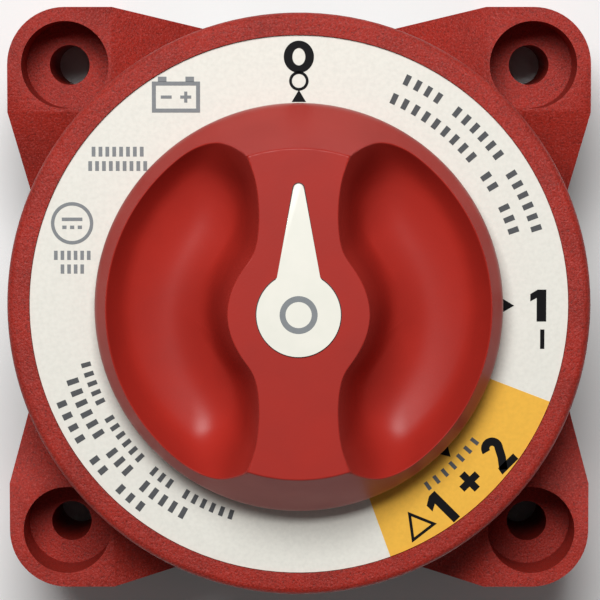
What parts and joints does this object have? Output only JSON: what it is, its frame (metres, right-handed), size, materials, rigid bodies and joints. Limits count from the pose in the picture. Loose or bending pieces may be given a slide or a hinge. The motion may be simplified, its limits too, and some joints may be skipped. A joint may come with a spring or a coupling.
{
  "type": "battery switch",
  "caption": "Square-eared marine battery switch with a round labelled face and a rotary grip knob that turns from OFF to ON and BOTH, with threaded cable studs at the back.",
  "frame": {"origin": "centre of the back, on the mounting plane", "axes": "+Z out of the face along the knob's axis, +Y towards OFF at the top of the face"},
  "size_m": [0.1048, 0.1048, 0.078],
  "materials": {
    "housing_plastic": "fine moulded grain, satin",
    "label_print": "satin printed film",
    "knob_plastic": "smooth moulded, semi-gloss",
    "insert_plastic": "smooth moulded, satin",
    "steel": "turned",
    "stainless": "machined, bright",
    "spring_steel": "drawn wire",
    "acetal": "machined",
    "carrier_plastic": "glass-filled, matt",
    "base_plastic": "glass-filled, matt",
    "copper": "drawn, lightly tarnished",
    "tinned_copper": "tin-plated, satin",
    "rubber": "moulded"
  },
  "bodies": {
    "case": {"housing": "housing_plastic", "face_label": "label_print", "shaft_bushing": "acetal", "detent_plate": "carrier_plastic", "detent_plate_screws": "stainless", "terminal_base": "base_plastic", "load_terminal_1": "tinned_copper", "battery_terminal_1": "tinned_copper", "load_terminal_2": "tinned_copper", "battery_terminal_2": "tinned_copper", "base_gasket": "rubber", "flat_washers": "stainless", "lock_washers": "stainless", "hex_nuts": "stainless", "base_screws": "stainless", "rear_guard": "base_plastic", "guard_screws": "stainless"},
    "knob_assembly": {"knob": "knob_plastic", "pointer_insert": "insert_plastic", "knob_screw": "stainless", "knob_washer": "stainless", "drive_shaft": "steel", "shaft_o_ring": "rubber", "shaft_circlip": "spring_steel", "rotor": "carrier_plastic", "rotor_screw": "stainless", "rotor_washer": "stainless", "bridge_springs_a": "spring_steel", "bridge_springs_b": "spring_steel", "link_springs": "spring_steel", "detent_spring_a": "spring_steel", "detent_spring_b": "spring_steel"},
    "bridge_contact_a_body": {"bridge_contact_a": "copper"},
    "bridge_contact_b_body": {"bridge_contact_b": "copper"},
    "link_contact_body": {"link_contact": "copper"},
    "detent_plunger_a_body": {"detent_plunger_a": "acetal"},
    "detent_plunger_b_body": {"detent_plunger_b": "acetal"}
  },
  "joints": [
    {"name": "knob_turn", "type": "hinge", "parent": "case", "child": "knob_assembly", "pos_m": [0, 0, 0.056], "axis": [0, 0, -1], "range_deg": [0, 135]},
    {"name": "bridge_a_lift", "type": "slide", "parent": "knob_assembly", "child": "bridge_contact_a_body", "axis": [0, 0, 1], "range_m": [0, 0.0006], "stiffness_N_per_m": 3000, "deforming": ["bridge_springs_a"]},
    {"name": "bridge_b_lift", "type": "slide", "parent": "knob_assembly", "child": "bridge_contact_b_body", "axis": [0, 0, 1], "range_m": [0, 0.0006], "stiffness_N_per_m": 3000, "deforming": ["bridge_springs_b"]},
    {"name": "link_lift", "type": "slide", "parent": "knob_assembly", "child": "link_contact_body", "axis": [0, 0, 1], "range_m": [0, 0.0006], "stiffness_N_per_m": 2000, "deforming": ["link_springs"]},
    {"name": "detent_a_slide", "type": "slide", "parent": "knob_assembly", "child": "detent_plunger_a_body", "axis": [0, 0, 1], "range_m": [0, 0.0008], "stiffness_N_per_m": 2000, "deforming": ["detent_spring_a"]},
    {"name": "detent_b_slide", "type": "slide", "parent": "knob_assembly", "child": "detent_plunger_b_body", "axis": [0, 0, 1], "range_m": [0, 0.0008], "stiffness_N_per_m": 2000, "deforming": ["detent_spring_b"]}
  ]
}
